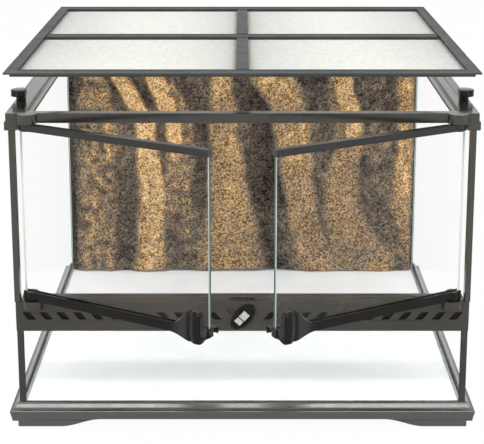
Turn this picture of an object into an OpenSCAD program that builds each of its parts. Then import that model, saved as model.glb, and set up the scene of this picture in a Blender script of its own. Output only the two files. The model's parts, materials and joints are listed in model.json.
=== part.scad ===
// Front-opening glass terrarium with a slotted ventilation strip and a lift-off screen cover.
// X runs to the right, Y to the back and Z up. The origin lies at table height under the
// middle of the tank. The doors stand ajar, and the cover is lifted off, up and forward.

/* [Tank] */
// Width of the tank over its top frame
tank_w = 450; // [420:5:520]
// Depth of the tank over its top frame
tank_d = 450; // [420:5:520]
// Height of the top frame's upper face above the table
tank_h = 318; // [300:1:400]
// Thickness of every glass pane
glass_t = 4; // [3:0.5:5]
// How far the glass walls lie inside the top frame's outer face
glass_inset = 3; // [2.5:0.5:4]
// Leg of the silicone fillets in the tank's corners
seam_leg = 2.5; // [1.5:0.5:3]
// Clearance on each side of every running or sliding fit
fit = 0.05; // [0.02:0.01:0.09]

/* [Base frame] */
// How far the base frame stands out past the top frame
base_proud = 6; // [4:0.5:10]
// Height of the base rails' undersides
foot_lift = 7.6; // [6:0.2:12]
// Height of the base frame's outer lip
base_lip = 16.5; // [15:0.5:20]
// Height of the base frame where it meets the glass
base_top = 24; // [22:0.5:30]
// Draft of the base frame's outer face
base_draft = 2; // [0:0.5:3]
// Height of the floor pane's underside
floor_z = 17; // [15:0.5:19]
// Width of the ledge that carries the floor pane
floor_ledge = 5; // [3:0.5:12]
// Length of the flat part of each foot
foot_flat = 42; // [30:1:60]
// Length of the curve from each foot up to its rail
foot_curve = 40; // [20:1:60]
// How far each foot's end is stepped in from the corner
foot_step = 8; // [4:0.5:12]
// Height of that step
foot_step_z = 5.9; // [3:0.1:7]
// Width of the rear notch for a heat mat's lead
lead_notch_w = 12; // [6:1:20]
// Height of that notch
lead_notch_h = 6; // [4:0.1:7]
// Distance from the middle to that notch's near side
lead_notch_x = 150; // [80:1:180]

/* [Top frame] */
// Height of the top frame's side rails
frame_h = 16.7; // [14:0.1:22]
// Depth of glass held in the top frame
glass_grip = 2.7; // [2:0.1:4]
// How far the lower half of the side rails flares out
flare = 1.5; // [0:0.5:3]
// Height of that flared lower half
flare_h = 8.4; // [5:0.1:10]
// Width of the side rims' upper face
side_rim = 17.5; // [14:0.5:22]
// Width of the front rail's upper face
front_rim = 11.5; // [10:0.5:14]
// Width of the rear rim's upper face
rear_rim = 14; // [12:0.5:20]
// How far the cover ledge lies under the rim
ledge_drop = 3; // [2:0.1:3.2]
// Thickness of the cover ledge
ledge_t = 3; // [2:0.1:4]
// Width of the cover ledge at the sides and the rear
ledge_w = 6; // [4:0.5:8]
// Width of the cover ledge behind the front rail
front_ledge_w = 12; // [8:0.5:14]
// Height of the front rail
front_rail_h = 9.5; // [8:0.1:12]
// Width of the two front corner blocks
corner_w = 11; // [9:0.5:11]
// Depth of the two front corner blocks
corner_d = 20; // [12:0.5:30]
// Thickness of the frame's wall inside the glass
inner_wall = 2; // [1:0.5:3]

/* [Ventilation strip] */
// Height of the strip's lower edge
strip_z = 99; // [80:1:120]
// Height of the strip's front face
strip_h = 30.3; // [28:0.1:36]
// Depth of the strip's sill
sill_d = 27; // [20:0.5:32]
// Thickness of the sill and of the rear wall
sill_t = 2.5; // [2:0.1:4]
// Height of the strip's rear wall
rear_wall_h = 11; // [6:0.5:14]
// Depth of lower glass held in the strip
strip_grip = 4; // [3:0.5:6]
// Slots on each side of the lock
slot_n = 12; // [6:1:12]
// Spacing of the slots
slot_pitch = 16.5; // [15:0.1:18]
// Width of each slot
slot_w = 7.4; // [4:0.1:8]
// Sideways slant of each slot over its height
slot_slant = 6; // [2:0.1:8]
// Height of each slot
slot_h = 7.6; // [5:0.1:9]
// Height of the slots' lower edges above the strip's lower edge
slot_z = 12.2; // [11:0.1:14]
// Distance from the tank's side to the first slot's corner
slot_margin = 9.5; // [8:0.5:14]
// Thickness of the vent gauze
gauze_t = 0.4; // [0.3:0.1:0.8]

/* [Doors] */
// Angle at which the doors stand open
door_open = 30.5; // [10:0.5:60]
// Distance from the tank's side to the hinge axis
hinge_inset = 20.3; // [20:0.1:24]
// Distance from the tank's front face back to the hinge axis
hinge_back = 0.5; // [0:0.1:2]
// Radius of the hinge bosses
boss_r = 10.2; // [8:0.1:10.5]
// Height of the lower hinge bosses
boss_h = 8.9; // [6:0.1:10]
// How far the lower hinge bosses stand above the sill
boss_rise = 2.6; // [1:0.1:3]
// Radius of the hinge pins
pin_r = 2; // [1.5:0.1:2.5]
// Gap between the glass of the closed doors
door_gap = 2; // [2:0.5:4]
// Glass beyond the hinge axis
door_tail = 7.6; // [6:0.1:7.7]
// Depth of the door rails from front to back
rail_d = 8; // [7:0.5:8]
// Height of the doors' bottom rails
bottom_rail_h = 9; // [8:0.5:12]
// Height of the doors' top rails
top_rail_h = 6.6; // [6:0.1:9]
// Gap under and over each door
door_play = 0.1; // [0.1:0.05:0.5]
// Gap between the top rails and the front rail of the frame
top_play = 0.7; // [0.3:0.1:1]
// Radius of the rails' hinge barrels
barrel_r = 6.5; // [5:0.1:8]
// Thickness of the rails' end wall past the glass
rail_cap = 0.8; // [0.5:0.1:0.8]
// Depth of glass held in the bottom rails
glass_seat = 4.5; // [3:0.1:5]
// Length of each door pull
pull_l = 51; // [40:1:70]
// Height of each door pull
pull_h = 29; // [20:0.5:40]
// How far each pull stands out from its rail
pull_out = 14; // [8:0.5:18]

/* [Lock] */
// Height of the lock's axis above the strip's lower edge
lock_z = 15.4; // [15:0.1:17]
// Half the length of the oval thumb turn
turn_a = 15.3; // [12:0.1:15.5]
// Half the width of the oval thumb turn
turn_b = 8.5; // [7:0.1:9]
// Thickness of the thumb turn
turn_t = 3; // [2:0.1:4]
// Width of the thumb turn's rim
turn_rim = 2.6; // [1.5:0.1:3]
// Length of the thumb turn's longer plate
long_plate = 8; // [6:0.1:9]
// Length of the thumb turn's shorter plate
short_plate = 5.4; // [4:0.1:7]
// Angle at which the thumb turn stands
turn_angle = 47; // [45:1:50]
// Radius of the lock's shaft
lock_shaft_r = 5; // [3.5:0.1:5.5]
// Radius of the crank that lifts the bolt
crank_r = 8.89; // [7:0.01:9]
// Radius of the crank's pin
crank_pin_r = 1.2; // [1:0.1:1.5]
// Width of the bolt
bolt_w = 23.9; // [23:0.1:26]
// Thickness of the bolt
bolt_t = 5; // [3:0.1:5.5]
// Distance from the front face back to the bolt
bolt_back = 7; // [7:0.1:8]

/* [Cover] */
// Width of the screen cover
cover_w = 424; // [400:1:424]
// Depth of the screen cover
cover_d = 424; // [400:1:424]
// Height of the lifted cover's upper face
cover_z = 371.9; // [360:0.1:420]
// How far the lifted cover's front edge stands before the tank
cover_forward = 81; // [40:1:120]
// Thickness of the cover's flange
flange_t = 1.6; // [1:0.1:2]
// How far the cover's skirt is set in from its edge
skirt_in = 5; // [5:0.1:8]
// Depth of the cover under its upper face
cover_t = 4.4; // [4.2:0.1:4.4]
// Width of the cover's side bars
side_bar = 10.2; // [8:0.1:14]
// Width of the cover's front, rear and cross bars
end_bar = 18.5; // [16:0.5:24]
// Width of the cover's centre bars
centre_bar = 11; // [8:0.5:16]
// Width of the lip that carries the mesh
mesh_lip = 2.8; // [2:0.1:4]
// Thickness of the mesh
mesh_t = 0.4; // [0.3:0.1:0.6]
// Depth of the mesh under the bars' upper face
mesh_drop = 3.2; // [2.4:0.1:3.4]
// Openings across each pane of mesh
mesh_cells = 12; // [6:1:12]
// Share of the mesh's width that is wire
mesh_share = 0.23; // [0.15:0.01:0.4]
// Distance from the cover's sides to the ends of its deep front and rear tongues
tongue_end = 20; // [20:1:100]
// Width of the notches in the flange at the cover's sides
notch_w = 6; // [4:0.5:8]
// Distance from the cover's front edge to its front notches
notch_front = 88; // [60:1:120]
// Distance from the cover's rear edge to its rear notches
notch_rear = 64; // [40:1:120]

/* [Cover locks] */
// Distance from the tank's side to each lock's axis
lock_inset = 6.4; // [6.2:0.1:7]
// Distance from the tank's front or rear to each lock's axis
lock_back = 61; // [30:1:120]
// Radius of each lock's cap
cap_r = 9.8; // [8:0.1:10]
// Distance from each lock's axis to the cap's flat side
cap_flat = 4.8; // [4.8:0.1:5]
// Thickness of each lock's cap
cap_t = 6.4; // [4:0.1:8]
// Radius of each lock's neck
neck_r = 4.8; // [4:0.1:5]
// Height of each lock's neck
neck_h = 5; // [4:0.1:7]
// Radius of the stem that turns in the frame
stem_r = 3; // [2:0.1:4]
// Length of that stem
stem_l = 9; // [6:0.5:10]

/* [Cable inlets] */
// Width of each cable inlet
inlet_w = 30; // [20:1:40]
// Height of each cable inlet
inlet_h = 6.8; // [5:0.1:7]
// Distance from the tank's middle to each inlet's near side
inlet_x = 120; // [80:1:140]
// Travel of each inlet's shutter
shutter_travel = 24; // [12:1:26]
// Thickness of each shutter
shutter_t = 2; // [1.5:0.1:2.2]

/* [Rock background] */
// Mean thickness of the rock panel
rock_t = 19; // [15:1:25]
// Height of the ridges on the rock panel
rock_relief = 5; // [2:0.5:6]
// Number of broad ridges across the panel
rock_ridges = 4; // [3:1:6]

/* [Hidden] */
half_w = tank_w / 2;
half_d = tank_d / 2;
glass_x = half_w - glass_inset;
glass_y = half_d - glass_inset;
inner_x = glass_x - glass_t;
inner_y = glass_y - glass_t;
wall_z = floor_z - glass_t;
floor_top = floor_z + glass_t;
base_w = tank_w + 2 * base_proud;
base_d = tank_d + 2 * base_proud;
base_run = base_proud + glass_inset + glass_t + floor_ledge;
frame_z = tank_h - frame_h;
wall_top = frame_z + glass_grip;
ledge_z = tank_h - ledge_drop;
strip_top = strip_z + strip_h;
strip_wall = glass_inset - fit;
strip_lip = 2;
strip_web = 1.6;
post_w = glass_t + 1.6;
post_d = 10;
hinge_x = half_w - hinge_inset;
hinge_y = -half_d + hinge_back;
door_l = hinge_x - door_gap / 2;
bottom_rail_z = strip_top + boss_rise + door_play;
top_rail_z = tank_h - front_rail_h - top_play - top_rail_h;
door_glass_z = bottom_rail_z + glass_seat;
door_glass_top = top_rail_z + top_rail_h / 2;
pin_gap = 0.3;
pull_w = rail_d / 2 + pull_out;
lug_l = 14;
lug_d = 10.5;
lug_h = 7;
lock_x = 0.5;
lock_zc = strip_z + lock_z;
wall_back = -half_d + strip_wall;
turn_floor = 1.1;
plate_gap = 1.2;
crank_t = 3;
plug_side = 11.8;
plug_rise = 5.8;
plug_x = lock_x - plug_side;
plug_z = lock_zc + plug_rise;
plug_r = 3.1;
plug_dimple_r = 2;
plug_floor = 1.5;
gauze_lap = 3;
gauze_end = 18;
grooves = [[5, 1], [16, 1.2]];
groove_depth = 0.8;
crank_y = wall_back + 0.55;
pin_angle = turn_angle - 45;
bolt_y = -half_d + bolt_back;
bolt_top = strip_top - 0.3;
bolt_drop = 3.4;
catch_y = -half_d + 6;
catch_d = 8;
cover_front = -half_d - cover_forward;
cover_mid = cover_front + cover_d / 2;
mesh_z = cover_z - mesh_drop - mesh_t;
tongue_t = 1.2;
tongue_in = 11;
tongue_w = 6;
notch_depth = 2;
lock_at_x = half_w - lock_inset;
lock_at_y = half_d - lock_back;
inlet_z = wall_top + 0.6;
shutter_y = glass_y - 1;
rock_back = inner_y - seam_leg - 1.2;
rock_half = inner_x - seam_leg - 0.3;
rock_h = frame_z - 0.5 - floor_top;
round_fn = 64;

BLACK = [0.20, 0.19, 0.18];
STEEL = [0.75, 0.75, 0.73];
GLASS = [0.75, 0.88, 0.84, 0.35];
SEAL = [0.08, 0.08, 0.08];
ROCK = [0.66, 0.52, 0.36];
MESH = [0.88, 0.88, 0.85];

// A smooth S-shaped run of points from (x0, y0) to (x1, y1)
function s_curve(x0, y0, x1, y1, n = 8) =
    [for (i = [0:n]) [x0 + (x1 - x0) * i / n, y0 + (y1 - y0) * (1 - cos(180 * i / n)) / 2]];

// Outline of an ellipse with half axes a and b
function ellipse(a, b, n = 48) = [for (i = [0:n - 1]) [a * cos(360 * i / n), b * sin(360 * i / n)]];

// A box given by its lowest and highest corners
module box(low, high) {
    translate(low)
        cube(high - low);
}

// A copy on the left as drawn, or mirrored to the right
module on_side(side) {
    mirror([side > 0 ? 1 : 0, 0, 0])
        children();
}

// A block whose left and right sides follow one outline, a list of [inset, height]
module ridge_block(w, d, side) {
    last = len(side) - 1;
    rotate([90, 0, 0])
        linear_extrude(d, center = true)
            polygon(concat([for (p = side) [p[0] - w / 2, p[1]]],
                           [for (i = [last:-1:0]) [w / 2 - side[i][0], side[i][1]]]));
}

// A block whose four sides all follow that outline, with mitred corners
module four_sided(w, d, side) {
    intersection() {
        ridge_block(w, d, side);
        rotate([0, 0, 90])
            ridge_block(d, w, side);
    }
}

// The space that the glass walls take, with a fit on both faces
module wall_slot(z0, z1) {
    difference() {
        box([-glass_x - fit, -glass_y - fit, z0], [glass_x + fit, glass_y + fit, z1]);
        box([fit - inner_x, fit - inner_y, z0 - 1], [inner_x - fit, inner_y - fit, z1 + 1]);
    }
}

// A front foot seen from the front: flat, stepped at the corner, curving up to the rail
module foot_outline(reach) {
    end = reach - foot_step;
    flat = end - foot_flat;
    polygon(concat([[end, 0], [end, foot_step_z], [reach - base_draft, foot_step_z],
                    [reach - base_draft, foot_lift + 1]],
                   [[flat - foot_curve, foot_lift + 1]],
                   s_curve(flat - foot_curve, foot_lift, flat, 0, 12)));
}

module base_frame() {
    top_run = base_proud + glass_inset;
    side = concat([[base_draft, foot_lift], [0, base_lip], [0.8, base_lip + 0.9]],
                  s_curve(2, base_lip + 1.2, top_run, base_top));
    color(BLACK) {
        difference() {
            four_sided(base_w, base_d, side);
            box([floor_ledge - inner_x, floor_ledge - inner_y, 0],
                [inner_x - floor_ledge, inner_y - floor_ledge, base_top]);
            box([-inner_x, -inner_y, floor_z], [inner_x, inner_y, base_top + 1]);
            wall_slot(wall_z, base_top + 1);
        }
        for (x = [0, 1])
            mirror([x, 0, 0])
                translate([0, base_run - base_d / 2, 0])
                    rotate([90, 0, 0])
                        linear_extrude(base_run - base_draft)
                            foot_outline(base_w / 2);
        base_sole();
    }
}

// The strip that the sides and the rear of the base frame stand on
module base_sole() {
    x = base_w / 2;
    y = base_d / 2;
    top = foot_lift + 1;
    difference() {
        union() {
            box([foot_step - x, foot_step - y, 0], [x - foot_step, y - foot_step, top]);
            box([base_draft - x, base_draft - y, foot_step_z], [x - base_draft, y - base_draft, top]);
        }
        box([base_run - x, base_run - y, -1], [x - base_run, y - base_run, top + 1]);
        box([-x, -y, -1], [x, base_run - y, top + 1]);
        box([lead_notch_x, 0, -1], [lead_notch_x + lead_notch_w, y, lead_notch_h]);
    }
}

module floor_glass() {
    color(GLASS)
        box([fit - inner_x, fit - inner_y, floor_z], [inner_x - fit, inner_y - fit, floor_top]);
}

module back_glass() {
    color(GLASS)
        box([-inner_x, inner_y, wall_z], [inner_x, glass_y, wall_top]);
}

module side_glass(side) {
    color(GLASS)
        on_side(side)
            box([-glass_x, -glass_y, wall_z], [-inner_x, glass_y, wall_top]);
}

module lower_front_glass() {
    color(GLASS)
        box([-inner_x, -glass_y, wall_z], [inner_x, -inner_y, strip_z + strip_grip]);
}

module silicone_seams() {
    color(SEAL) {
        difference() {
            box([-inner_x, -inner_y, floor_top], [inner_x, inner_y, floor_top + seam_leg]);
            four_sided(2 * inner_x, 2 * inner_y,
                       [[seam_leg + 1, floor_top - 1], [-1, floor_top + seam_leg + 1]]);
        }
        for (x = [0, 1])
            mirror([x, 0, 0]) {
                seam_post(inner_y, -1, frame_z);
                seam_post(-inner_y, 1, strip_z);
                box([inner_x - seam_leg, -glass_y - 0.5, base_top + 0.1],
                    [glass_x - 0.3, -glass_y, strip_z]);
            }
    }
}

// A fillet that stands in a corner of the tank
module seam_post(y, way, top) {
    translate([0, 0, floor_top])
        linear_extrude(top - floor_top)
            polygon([[inner_x, y], [inner_x - seam_leg, y], [inner_x, y + way * seam_leg]]);
}

// A channel over the front edge of a side pane, above the ventilation strip
module front_post(side) {
    color(BLACK)
        on_side(side)
            difference() {
                translate([-inner_x - glass_t / 2 - post_w / 2, -half_d, strip_top])
                    cube([post_w, post_d, frame_z - strip_top]);
                box([-glass_x - fit, -glass_y - fit, strip_z], [fit - inner_x, 0, tank_h]);
            }
}

module top_frame() {
    wall_in = inner_x - fit - inner_wall;
    block_x = half_w - corner_w;
    front_in = front_rim - half_d;
    color(BLACK)
        difference() {
            union() {
                difference() {
                    union() {
                        box([-half_w, -half_d, frame_z], [half_w, half_d, tank_h]);
                        box([-half_w - flare, -half_d, frame_z],
                            [half_w + flare, half_d + flare, frame_z + flare_h]);
                    }
                    box([side_rim - half_w, front_in, ledge_z],
                        [half_w - side_rim, half_d - rear_rim, tank_h + 1]);
                    box([side_rim + ledge_w - half_w, front_in + front_ledge_w, frame_z],
                        [half_w - side_rim - ledge_w, half_d - rear_rim - ledge_w, tank_h]);
                    box([-wall_in, front_in, frame_z - 1], [wall_in, wall_in, ledge_z - ledge_t]);
                    box([-block_x, -half_d - 1, frame_z - 1],
                        [block_x, corner_d - half_d, tank_h - front_rail_h]);
                }
                for (side = [-1, 1])
                    translate([side * hinge_x, hinge_y, tank_h - front_rail_h])
                        cylinder(r = boss_r, h = front_rail_h, $fn = round_fn);
            }
            wall_slot(frame_z - 1, wall_top + fit);
            for (side = [-1, 1]) {
                translate([side * hinge_x, hinge_y, tank_h - front_rail_h - 1])
                    cylinder(r = pin_r + fit, h = front_rail_h - 2, $fn = round_fn);
                for (y = [-lock_at_y, lock_at_y])
                    translate([side * lock_at_x, y, tank_h - stem_l - fit])
                        cylinder(r = stem_r + fit, h = stem_l + 1, $fn = round_fn);
            }
            for (x = [0, 1])
                mirror([x, 0, 0])
                    inlet_cut();
        }
}

// A cable inlet through the rear rail, with the track that its shutter slides in
module inlet_cut() {
    box([inlet_x, inner_y - 5, inlet_z], [inlet_x + inlet_w, half_d + flare + 1, inlet_z + inlet_h]);
    box([inlet_x - shutter_travel - 2, shutter_y - shutter_t - fit, inlet_z - 0.3],
        [inlet_x + inlet_w + 1, shutter_y + fit, inlet_z + inlet_h + 0.3]);
}

// A shutter slid open beside its cable inlet, with a tab for a fingertip
module inlet_shutter(side) {
    tab_l = 4;
    end = inlet_x + inlet_w - shutter_travel;
    color(BLACK)
        mirror([side < 0 ? 1 : 0, 0, 0]) {
            box([inlet_x - shutter_travel, shutter_y - shutter_t, inlet_z - 0.25],
                [end, shutter_y, inlet_z + inlet_h + 0.25]);
            box([end - tab_l, shutter_y - 0.5, inlet_z + 1.5],
                [end - 1, half_d + flare + 1, inlet_z + inlet_h - 1.5]);
        }
}

module vent_strip() {
    color(BLACK)
        difference() {
            union() {
                strip_wall_solid();
                translate([fit - inner_x, -half_d, 0])
                    rotate([90, 0, 90])
                        linear_extrude(2 * (inner_x - fit))
                            strip_section();
                for (side = [-1, 1])
                    translate([side * hinge_x, hinge_y, strip_top + boss_rise - boss_h])
                        cylinder(r = boss_r, h = boss_h, $fn = round_fn);
                for (side = [-1, 1])
                    translate([lock_x + side * (bolt_w / 2 + fit + 1) - 1, wall_back - 0.5,
                               strip_z + slot_z])
                        cube([2, bolt_back + bolt_t - strip_wall, strip_h - slot_z - 0.5]);
            }
            for (side = [-1, 1])
                translate([side * hinge_x, hinge_y, strip_top + boss_rise - boss_h + 1])
                    cylinder(r = pin_r + fit, h = boss_h, $fn = round_fn);
            for (x = [0, 1])
                mirror([x, 0, 0])
                    vent_slots();
            translate([lock_x, wall_back + 1, lock_zc])
                rotate([90, 0, 0])
                    cylinder(r = lock_shaft_r + fit, h = strip_wall + 2, $fn = round_fn);
            translate([plug_x, wall_back + 1, plug_z])
                rotate([90, 0, 0])
                    cylinder(r = plug_r + fit, h = strip_wall + 2, $fn = round_fn);
            box([lock_x - bolt_w / 2 - fit, catch_y, strip_top - sill_t - 1],
                [lock_x + bolt_w / 2 + fit, catch_y + catch_d, strip_top + 1]);
        }
}

// The strip's front wall, creased along its lower third and chamfered on top
module strip_wall_solid() {
    translate([-glass_x, -half_d, strip_z])
        rotate([90, 0, 90])
            linear_extrude(2 * glass_x)
                polygon([[0.8, 0], [0, strip_h / 3], [0, strip_h - 1], [1, strip_h],
                         [strip_wall, strip_h], [strip_wall, 0]]);
}

// The channel on the lower pane, the grooved sill and the rear wall; x runs to the back
module strip_section() {
    channel_top = strip_z + strip_grip + fit;
    lip_back = glass_inset + glass_t + fit + strip_lip;
    polygon([[1, channel_top], [lip_back - strip_lip, channel_top],
             [lip_back - strip_lip, strip_z], [lip_back, strip_z],
             [lip_back, channel_top + strip_web], [1, channel_top + strip_web]]);
    difference() {
        polygon([[1, strip_top - sill_t], [sill_d - sill_t, strip_top - sill_t],
                 [sill_d - sill_t, strip_top - rear_wall_h], [sill_d, strip_top - rear_wall_h],
                 [sill_d, strip_top], [1, strip_top]]);
        for (groove = grooves)
            translate([groove[0], strip_top - groove_depth])
                square([groove[1], groove_depth + 1]);
    }
}

// Slanted slots on the left half of the strip
module vent_slots() {
    first = slot_margin - half_w;
    for (i = [0:slot_n - 1])
        translate([first + i * slot_pitch, wall_back + 1, strip_z + slot_z])
            rotate([90, 0, 0])
                linear_extrude(strip_wall + 2)
                    polygon([[slot_slant, 0], [slot_slant + slot_w, 0], [slot_w, slot_h],
                             [0, slot_h]]);
}

module vent_gauze() {
    span = [slot_margin - half_w - 2, -gauze_end];
    color(STEEL)
        for (x = [0, 1])
            mirror([x, 0, 0])
                box([span[0], wall_back, strip_z + slot_z - gauze_lap],
                    [span[1], wall_back + gauze_t, strip_z + slot_z + slot_h + gauze_lap]);
}

module strip_plug() {
    color(SEAL)
        translate([plug_x, wall_back, plug_z])
            rotate([90, 0, 0])
                difference() {
                    cylinder(r = plug_r, h = strip_wall, $fn = round_fn);
                    translate([0, 0, plug_floor])
                        cylinder(r = plug_dimple_r, h = strip_wall, $fn = round_fn);
                }
}

// The oval thumb turn and its shaft; its recess holds two stepped plates
module lock_turn() {
    color(BLACK)
        at_lock(turn_angle)
            difference() {
                union() {
                    translate([0, 0, 0.3])
                        linear_extrude(turn_t)
                            polygon(ellipse(turn_a, turn_b));
                    translate([0, 0, -half_d - crank_y])
                        cylinder(r = lock_shaft_r, h = crank_y + half_d + 0.3, $fn = round_fn);
                }
                translate([0, 0, turn_floor])
                    linear_extrude(turn_t)
                        polygon(ellipse(turn_a - turn_rim, turn_b - turn_rim));
            }
}

module lock_plates() {
    plate_w = turn_b - 1;
    step = long_plate / 4;
    color(STEEL)
        at_lock(turn_angle) {
            translate([-step, -plate_w / 2, turn_floor])
                cube([long_plate, plate_w, 1.9]);
            translate([-step - plate_gap - short_plate, -plate_w / 2, turn_floor])
                cube([short_plate, plate_w, 1.2]);
        }
}

// Turned about the lock's axis, with Z towards the front and zero at the strip's face
module at_lock(angle) {
    translate([lock_x, -half_d, lock_zc])
        rotate([90, 0, 0])
            rotate([0, 0, angle])
                children();
}

// The crank on the back of the shaft, whose pin lifts the bolt
module lock_crank() {
    depth = -half_d - crank_y;
    color(STEEL)
        at_lock(pin_angle) {
            translate([0, 0, depth - crank_t])
                linear_extrude(crank_t) {
                    circle(r = lock_shaft_r, $fn = round_fn);
                    translate([0, -2.2])
                        square([crank_r, 4.4]);
                    translate([crank_r, 0])
                        circle(r = 2.2, $fn = round_fn);
                }
            translate([crank_r, 0, -half_d - bolt_y - bolt_t + 0.5])
                cylinder(r = crank_pin_r, h = depth + half_d + bolt_y + bolt_t - 0.5 - crank_t,
                         $fn = round_fn);
        }
}

module lock_bolt() {
    pin_z = lock_zc + crank_r * sin(pin_angle);
    slot_half = crank_pin_r + 0.4;
    color(STEEL)
        difference() {
            box([lock_x - bolt_w / 2, bolt_y, pin_z - bolt_drop],
                [lock_x + bolt_w / 2, bolt_y + bolt_t, bolt_top]);
            box([lock_x + crank_r * cos(45) - slot_half, bolt_y - 1, pin_z - slot_half],
                [lock_x + crank_r + slot_half, bolt_y + bolt_t + 1, pin_z + slot_half]);
        }
}

function ridge(x) = sin(x * 180 * rock_ridges / rock_half + 20) * 0.6
    + sin(x * 180 * rock_ridges * 2.3 / rock_half + 75) * 0.3
    + sin(x * 180 * rock_ridges * 5.1 / rock_half) * 0.1;

// A moulded panel whose front face runs in upright ridges
module rock_background() {
    steps = 64;
    face = [for (i = [0:steps]) let (x = rock_half * (1 - 2 * i / steps))
            [x, rock_back - rock_t + rock_relief * ridge(x)]];
    color(ROCK)
        translate([0, 0, floor_top])
            linear_extrude(rock_h)
                polygon(concat([[-rock_half, rock_back], [rock_half, rock_back]], face));
}

module hinge_pins(side) {
    top_pin_z = door_glass_top + pin_gap;
    low_pin_z = strip_top + boss_rise - boss_h + 1 + fit;
    color(STEEL)
        translate([side * hinge_x, hinge_y, 0]) {
            translate([0, 0, top_pin_z])
                cylinder(r = pin_r, h = tank_h - 3.1 - top_pin_z, $fn = round_fn);
            translate([0, 0, low_pin_z])
                cylinder(r = pin_r, h = door_glass_z - pin_gap - low_pin_z, $fn = round_fn);
        }
}

// A door's own frame: X along the door from its hinge axis, -Y towards its front
module at_door(side) {
    on_side(side)
        translate([-hinge_x, hinge_y, 0])
            rotate([0, 0, -door_open])
                children();
}

module door_glass(side) {
    color(GLASS)
        at_door(side)
            box([-door_tail, -glass_t / 2, door_glass_z], [door_l, glass_t / 2, door_glass_top]);
}

// A channel rail with a barrel on the hinge axis
module rail_solid(z, h) {
    box([-door_tail - 0.4, -rail_d / 2, z], [door_l + rail_cap, rail_d / 2, z + h]);
    translate([0, 0, z])
        cylinder(r = barrel_r, h = h, $fn = round_fn);
}

// The space that a door's pane takes in its rails
module pane_slot(z0, z1) {
    half = glass_t / 2 + fit;
    box([-door_tail - fit, -half, z0], [door_l + fit, half, z1]);
}

module top_rail(side) {
    color(BLACK)
        at_door(side)
            difference() {
                rail_solid(top_rail_z, top_rail_h);
                pane_slot(top_rail_z - 1, door_glass_top + fit);
                translate([0, 0, top_rail_z])
                    cylinder(r = pin_r + fit, h = top_rail_h + 1, $fn = round_fn);
            }
}

module bottom_rail(side) {
    lug_u = door_l - lug_l;
    back = rail_d / 2;
    color(BLACK)
        at_door(side)
            difference() {
                union() {
                    rail_solid(bottom_rail_z, bottom_rail_h);
                    box([lug_u, back - 1, bottom_rail_z],
                        [door_l, back + lug_d, bottom_rail_z + lug_h]);
                }
                pane_slot(door_glass_z - fit, bottom_rail_z + bottom_rail_h + 1);
                translate([0, 0, bottom_rail_z - 1])
                    cylinder(r = pin_r + fit, h = glass_seat + 1, $fn = round_fn);
                box([lug_u + 1, back + 1.8, bottom_rail_z - 1],
                    [door_l + 1, back + lug_d - 1.4, bottom_rail_z + lug_h - 1]);
            }
}

// A flared grip at the free end of the bottom rail
module pull(side) {
    start = door_l - pull_l;
    back = rail_d / 2;
    rail_top = bottom_rail_h;
    color(BLACK)
        at_door(side)
            translate([0, 0, bottom_rail_z])
                intersection() {
                    linear_extrude(pull_h)
                        mirror([0, 1])
                            polygon(concat([[door_l - 0.2, back], [start, back]],
                                           s_curve(start, back + 0.5, door_l - 0.2, pull_w, 12)));
                    rotate([90, 0, 0])
                        linear_extrude(pull_w + 1)
                            polygon(concat([[start - 1, 0], [door_l, 0], [door_l, pull_h]],
                                           s_curve(door_l - 5, pull_h, start + 8, rail_top, 12),
                                           [[start - 1, rail_top]]));
                }
}

// Side bars are narrow, end bars are wide; all have a flange, a skirt and a mesh lip
module cover_frame() {
    x = cover_w / 2;
    y = cover_d / 2;
    lip_x = side_bar + mesh_lip;
    lip_y = end_bar + mesh_lip;
    color(BLACK)
        translate([0, cover_mid, cover_z])
            difference() {
                union() {
                    box([-x, -y, -flange_t], [x, y, 0]);
                    box([skirt_in - x, skirt_in - y, -cover_t], [x - skirt_in, y - skirt_in, 0]);
                    for (end = [0, 1])
                        mirror([0, end, 0])
                            box([tongue_end - x, tongue_in - y, -cover_t - tongue_t],
                                [x - tongue_end, tongue_in + tongue_w - y, -flange_t]);
                }
                box([side_bar - x, end_bar - y, -mesh_drop - mesh_t], [x - side_bar, y - end_bar, 1]);
                box([lip_x - x, lip_y - y, -cover_t - 1], [x - lip_x, y - lip_y, 1]);
                for (side = [0, 1], at = [notch_front - y, y - notch_rear])
                    mirror([side, 0, 0])
                        box([-x - 1, at, -flange_t - 1], [notch_depth - x, at + notch_w, 1]);
            }
}

// A bar between two others, with a mesh lip along both sides
module inner_bar(length, bar) {
    top = bar / 2;
    lip = top + mesh_lip;
    low = -mesh_drop - mesh_t;
    translate([-length / 2, 0, 0])
        rotate([90, 0, 90])
            linear_extrude(length)
                polygon([[-top, 0], [top, 0], [top, low], [lip, low], [lip, -cover_t],
                         [-lip, -cover_t], [-lip, low], [-top, low]]);
}

module cover_cross_bar() {
    color(BLACK)
        translate([0, cover_mid, cover_z])
            inner_bar(cover_w - 2 * (side_bar + mesh_lip), end_bar);
}

module centre_bar_part(way) {
    length = (cover_d - 3 * end_bar) / 2 - 2 * mesh_lip;
    color(BLACK)
        translate([0, cover_mid + way * (cover_d - end_bar) / 4, cover_z])
            rotate([0, 0, 90])
                inner_bar(length, centre_bar);
}

module mesh_panel(way_x, way_y) {
    w = (cover_w - 2 * side_bar - centre_bar) / 2;
    d = (cover_d - 3 * end_bar) / 2;
    x = way_x * (centre_bar + w) / 2;
    y = cover_mid + way_y * (end_bar + d) / 2;
    color(MESH)
        translate([x, y, mesh_z])
            linear_extrude(mesh_t)
                mesh_grid(w - 2 * fit, d - 2 * fit);
}

// A sheet with a plain grid of openings, in place of the fine weave
module mesh_grid(w, d) {
    pitch = w / mesh_cells;
    rows = floor(d / pitch);
    difference() {
        square([w, d], center = true);
        for (i = [0:mesh_cells - 1], j = [0:rows - 1])
            translate([(i - (mesh_cells - 1) / 2) * pitch, (j - (rows - 1) / 2) * pitch])
                square(pitch * (1 - mesh_share), center = true);
    }
}

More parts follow.
